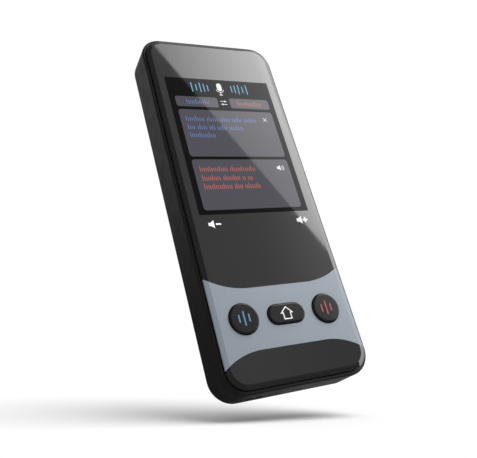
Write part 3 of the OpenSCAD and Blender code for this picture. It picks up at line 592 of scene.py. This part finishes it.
def socket_contacts():
    """Two rows of gold contact strips on the socket's tongue."""
    gold = sheet_metal("contact_gold", (0.85, 0.62, 0.25, 1.0), 0.25)
    low, high = (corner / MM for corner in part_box("usb_tongue"))
    pitch = (high.x - low.x - 2 * CONTACT_SIDE) / (CONTACTS - 1)
    y = high.y - CONTACT_END - CONTACT_LENGTH / 2
    outlines = [rounded(low.x + CONTACT_SIDE + i * pitch, y, CONTACT_WIDTH, CONTACT_LENGTH, 0.05, 2)
                for i in range(CONTACTS)]
    for name, z in (("front", high.z * MM), ("back", low.z * MM - CONTACT_T)):
        print_piece("socket_contacts_" + name, outlines, z, gold, "casing", CONTACT_T)


# ---------- camera, floor and light ----------

CAMERA_PLACE = Vector((-86.78, -77.79, 150.87)) * MM
CAMERA_AIM = Vector((-11.14, -17.18, 12.5)) * MM
CAMERA_ROLL = 41.51             # degrees
CAMERA_LENS = 45.35
CAMERA_SHIFT = (0.01489, 0.03802)


def make_camera():
    """The camera at the photograph's angle."""
    data = bpy.data.cameras.new("camera")
    data.lens = CAMERA_LENS
    data.sensor_width = 36
    data.shift_x, data.shift_y = CAMERA_SHIFT
    data.clip_start, data.clip_end = 0.01, 20
    camera = bpy.data.objects.new("camera", data)
    look = (CAMERA_AIM - CAMERA_PLACE).to_track_quat("-Z", "Y")
    roll = Matrix.Rotation(math.radians(CAMERA_ROLL), 4, "Z")
    camera.matrix_world = Matrix.Translation(CAMERA_PLACE) @ look.to_matrix().to_4x4() @ roll
    scene.collection.objects.link(camera)
    scene.camera = camera
    return camera


camera = make_camera()
turn = camera.matrix_world.to_3x3()
RIGHT, UP, NEAR = turn.col[0].copy(), turn.col[1].copy(), turn.col[2].copy()


def flat_stage(name, corners, material):
    """A flat stage object with the given corners."""
    mesh = bpy.data.meshes.new(name)
    mesh.from_pydata([tuple(c) for c in corners], [], [tuple(range(len(corners)))])
    mesh.materials.append(material)
    piece = bpy.data.objects.new(name, mesh)
    scene.collection.objects.link(piece)
    return piece


FLOOR_PITCH = -10               # degrees from the camera's axis down to the floor
FLOOR_DROP = 0.063              # from the middle of the object down to the floor
FLOOR_HALF = 3.0
FLOOR_WHITE = (0.75, 0.75, 0.75, 1.0)


def make_floor():
    """A white floor under the object as it stands in the picture. It shows from above only."""
    pitch = math.radians(FLOOR_PITCH)
    normal = UP * math.cos(pitch) + NEAR * math.sin(pitch)
    along = normal.cross(RIGHT)
    middle = (cad_low + cad_high) / 2 - normal * FLOOR_DROP
    corners = [middle + FLOOR_HALF * (a * RIGHT + b * along)
               for a, b in ((-1, -1), (1, -1), (1, 1), (-1, 1))]
    mat = bpy.data.materials.new("floor_white")
    mat.use_nodes = True
    nodes, links = mat.node_tree.nodes, mat.node_tree.links
    bsdf = nodes["Principled BSDF"]
    bsdf.inputs["Base Color"].default_value = FLOOR_WHITE
    bsdf.inputs["Roughness"].default_value = 0.9
    bsdf.inputs["Specular IOR Level"].default_value = 0.0
    side = nodes.new("ShaderNodeNewGeometry")
    clear = nodes.new("ShaderNodeBsdfTransparent")
    mix = nodes.new("ShaderNodeMixShader")
    links.new(side.outputs["Backfacing"], mix.inputs["Fac"])
    links.new(bsdf.outputs["BSDF"], mix.inputs[1])
    links.new(clear.outputs["BSDF"], mix.inputs[2])
    links.new(mix.outputs["Shader"], nodes["Material Output"].inputs["Surface"])
    floor = flat_stage("floor", corners, mat)
    floor.visible_glossy = False


CARD_HEIGHT = 0.4125            # the front cards' height over the back face
CARD_STEP = 0.002               # from the bright card up to the other front ones
CARD_EDGE = ((0.1775, 0.4374), (0.3291, 0.1493))   # two points of the bright one's slanted edge
CARD_CUT = ((0.1326, 0.5226), (0.8, 1.19))         # two points of its cut far corner
BACK_HEIGHT = -0.3              # height of the cards behind the object
BACK_SPLIT_X, BACK_SPLIT_Y = 0.05, 0.02            # the corner where these two meet
# Steps of the cards' strengths: a place along X or Y in metres, and a value.
BRIGHT_X = ((0.17, 3.5), (0.2, 4.4), (0.257, 6.3), (0.316, 8.1), (0.335, 9.8), (0.53, 7.3),
            (0.7, 6.5), (0.97, 5.6), (1.1, 3.0))
BRIGHT_Y = ((-0.3, 0.5), (0.05, 0.72), (0.158, 0.77), (0.178, 0.84), (0.226, 0.92), (0.345, 1.07),
            (0.375, 1.02), (0.442, 1.0), (0.452, 1.09), (0.6, 0.75), (0.85, 0.65), (1.2, 0.5))
DIM_X = ((0.06, 0.1), (0.13, 0.6), (0.22, 0.7), (0.25, 0.76), (0.27, 0.88), (0.296, 1.12),
         (0.32, 1.35), (3.0, 1.35))
LOW_X = ((0.06, 0.1), (0.13, 0.5), (0.19, 0.66), (0.23, 0.62), (0.31, 0.48), (3.0, 0.48))
LOW_Y = ((-1.0, 0.1), (-0.2, 0.2), (-0.09, 0.36), (0.01, 1.0), (0.09, 1.0))
DIM_Y = ((-1.0, 1.0), (3.0, 1.0))
BACK_ALONG_X = ((-0.6, 0.6), (0.05, 0.6))
BACK_ALONG_Y = ((0.02, 0.04), (0.055, 0.1), (0.11, 0.3), (0.17, 0.6), (0.235, 0.85), (0.3, 1.0),
                (0.8, 1.2))
END_ALONG_X = ((0.05, 0.1), (0.12, 0.36), (0.14, 0.38), (0.155, 0.44), (0.17, 0.66), (0.2, 0.92),
               (0.9, 1.0))
END_ALONG_Y = ((-0.7, 0.5), (0.02, 0.5))


def ramp_node(nodes, links, value, steps):
    """A value mapped through the steps, which are pairs of a position and a value."""
    low, high = steps[0][0], steps[-1][0]
    place = nodes.new("ShaderNodeMapRange")
    place.inputs["From Min"].default_value = low
    place.inputs["From Max"].default_value = high
    curve = nodes.new("ShaderNodeFloatCurve")
    top = max(v for _, v in steps)
    points = curve.mapping.curves[0].points
    for _ in range(len(steps) - 2):
        points.new(0.5, 0.5)
    for point, (position, v) in zip(points, steps):
        point.location = ((position - low) / (high - low), v / top)
        point.handle_type = "VECTOR"
    curve.mapping.update()
    scale = nodes.new("ShaderNodeMath")
    scale.operation = "MULTIPLY"
    scale.inputs[1].default_value = top
    links.new(value, place.inputs["Value"])
    links.new(place.outputs["Result"], curve.inputs["Value"])
    links.new(curve.outputs["Value"], scale.inputs[0])
    return scale.outputs["Value"]


def glow_card(name, corners, across, along):
    """A soft card that only shows as a reflection. Its strength varies in plan."""
    mat = bpy.data.materials.new(name)
    mat.use_nodes = True
    nodes, links = mat.node_tree.nodes, mat.node_tree.links
    nodes.remove(nodes["Principled BSDF"])
    glow = nodes.new("ShaderNodeEmission")
    place = nodes.new("ShaderNodeTexCoord")
    apart = nodes.new("ShaderNodeSeparateXYZ")
    both = nodes.new("ShaderNodeMath")
    both.operation = "MULTIPLY"
    links.new(place.outputs["Object"], apart.inputs["Vector"])
    links.new(ramp_node(nodes, links, apart.outputs["X"], across), both.inputs[0])
    links.new(ramp_node(nodes, links, apart.outputs["Y"], along), both.inputs[1])
    links.new(both.outputs["Value"], glow.inputs["Strength"])
    links.new(glow.outputs["Emission"], nodes["Material Output"].inputs["Surface"])
    card = flat_stage(name, corners, mat)
    card.visible_camera = card.visible_diffuse = False
    card.visible_shadow = card.visible_transmission = card.visible_volume_scatter = False
    return card


def on_line(line, y):
    """The point at y on the line through two points."""
    (x0, y0), (x1, y1) = line
    return x0 + (x1 - x0) * (y - y0) / (y1 - y0), y


def level(low_x, low_y, high_x, high_y, z):
    """Corners of a level rectangle."""
    return [(low_x, low_y, z), (high_x, low_y, z), (high_x, high_y, z), (low_x, high_y, z)]


def make_cards():
    """The bright card gives the panel's diagonal highlight, the dim and low ones its even
    sheen, and the back and end ones the sheen on the casing's sides."""
    low_y, high_y, far_x, z = BRIGHT_Y[0][0], BRIGHT_Y[-1][0], BRIGHT_X[-1][0], CARD_HEIGHT
    corners = [(*on_line(CARD_EDGE, low_y), z), (far_x, low_y, z), (far_x, high_y, z),
               (*on_line(CARD_CUT, high_y), z), (*CARD_CUT[0], z)]
    glow_card("card_bright", corners, BRIGHT_X, BRIGHT_Y)

    near_x, wide, above = DIM_X[0][0], DIM_X[-1][0], CARD_HEIGHT + CARD_STEP
    low_y, split_y = LOW_Y[0][0], LOW_Y[-1][0]
    glow_card("card_dim", level(near_x, split_y, wide, wide, above), DIM_X, DIM_Y)
    glow_card("card_low", level(near_x, low_y, wide, split_y, above), LOW_X, LOW_Y)

    left_x, high_y = BACK_ALONG_X[0][0], BACK_ALONG_Y[-1][0]
    back = level(left_x, BACK_SPLIT_Y, BACK_SPLIT_X, high_y, BACK_HEIGHT)
    glow_card("card_back", back, BACK_ALONG_X, BACK_ALONG_Y)

    right_x, low_y = END_ALONG_X[-1][0], END_ALONG_Y[0][0]
    end = level(BACK_SPLIT_X, low_y, right_x, BACK_SPLIT_Y, BACK_HEIGHT)
    glow_card("card_end", end, END_ALONG_X, END_ALONG_Y)


ROOM_GLOSS = 0.1                # strength of the dark room that gloss shows beside the cards
ROOM_LIGHT = 0.6                # strength of the even light
SUN_PLACE = RIGHT * 0.5 + UP * 0.94 - NEAR * 0.12  # the direction that the lamp shines from
SUN_STRENGTH = 2.9
SUN_ANGLE = 58                  # degrees that the lamp spans, which soften its shadows


def make_world(strength):
    """Even light. The camera and clear parts see it as plain white, and gloss as a dark room."""
    world = bpy.data.worlds.new("world")
    world.use_nodes = True
    nodes, links = world.node_tree.nodes, world.node_tree.links

    def background(value):
        node = nodes.new("ShaderNodeBackground")
        node.inputs["Color"].default_value = (1.0, 1.0, 1.0, 1.0)
        node.inputs["Strength"].default_value = value
        return node.outputs["Background"]

    path = nodes.new("ShaderNodeLightPath")
    seen = background(strength)
    for ray, value in (("Is Glossy Ray", ROOM_GLOSS), ("Is Transmission Ray", 1.0),
                       ("Is Camera Ray", 1.0)):
        mix = nodes.new("ShaderNodeMixShader")
        links.new(path.outputs[ray], mix.inputs["Fac"])
        links.new(seen, mix.inputs[1])
        links.new(background(value), mix.inputs[2])
        seen = mix.outputs["Shader"]
    links.new(seen, nodes["World Output"].inputs["Surface"])
    scene.world = world


def make_sun(direction, strength, angle):
    """A soft distant lamp that shines from the direction given."""
    data = bpy.data.lights.new("sun", "SUN")
    data.energy = strength
    data.angle = math.radians(angle)
    lamp = bpy.data.objects.new("sun", data)
    lamp.rotation_mode = "QUATERNION"
    lamp.rotation_quaternion = direction.to_track_quat("Z", "Y")
    scene.collection.objects.link(lamp)
    lamp.visible_glossy = lamp.visible_transmission = False


dress_frame()
display()
volume_marks()
key_icons()
socket_contacts()
make_floor()
make_cards()
make_world(ROOM_LIGHT)
make_sun(SUN_PLACE.normalized(), SUN_STRENGTH, SUN_ANGLE)
scene.view_settings.view_transform = "Standard"
